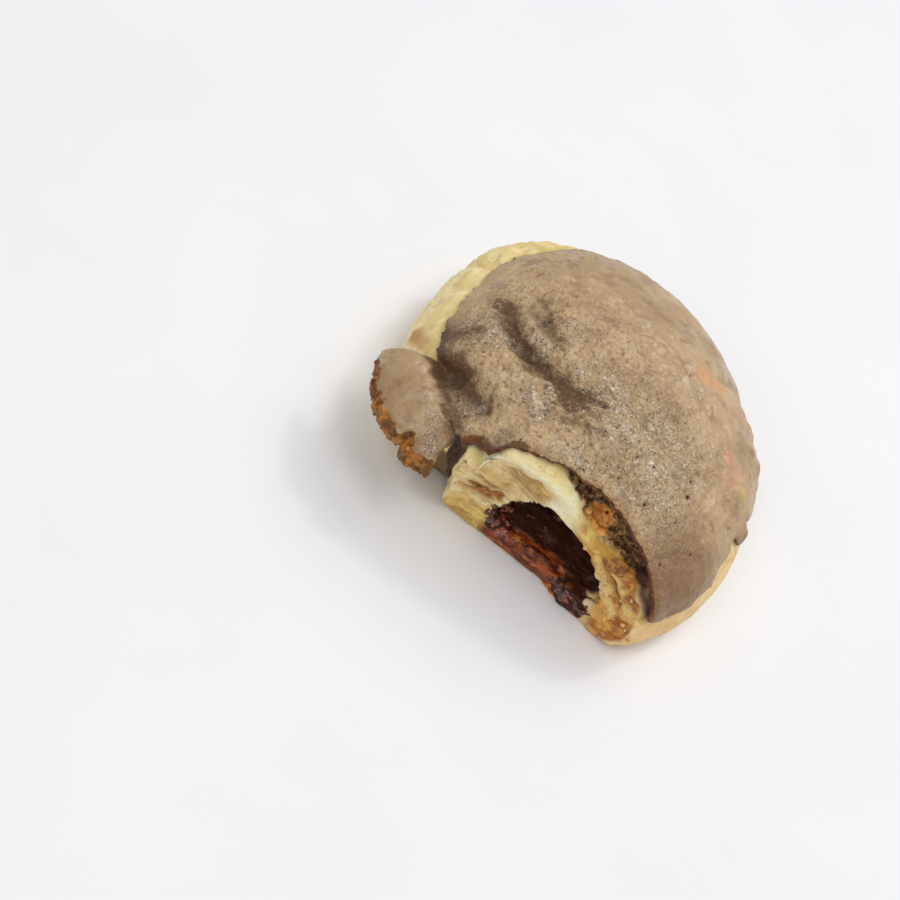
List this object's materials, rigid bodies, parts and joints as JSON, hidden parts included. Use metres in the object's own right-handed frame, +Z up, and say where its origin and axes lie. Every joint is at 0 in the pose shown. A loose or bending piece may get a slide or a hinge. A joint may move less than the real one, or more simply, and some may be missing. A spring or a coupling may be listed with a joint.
{
  "type": "coffee bun",
  "caption": "Round filled bun under a baked coffee crust, its front torn open to a dark chocolate filling and a flap of crust pulled out at one side.",
  "frame": {"origin": "middle of the flat base, at the level the bun stands on, below the middle of the whole round it had before it was torn", "axes": "+Z up out of the crust, -Y out of the torn front, +X to the right as seen from the torn front"},
  "size_m": [0.0941, 0.0911, 0.0424],
  "materials": {
    "bread": "soft matt bread, pale at the torn crumb and the side, light brown underneath",
    "coffee_crust": "grainy satin coffee crust",
    "filling": "sticky dark chocolate"
  },
  "bodies": {
    "root": {"bread": "bread", "coffee_crust": "coffee_crust", "filling": "filling"}
  },
  "joints": []
}
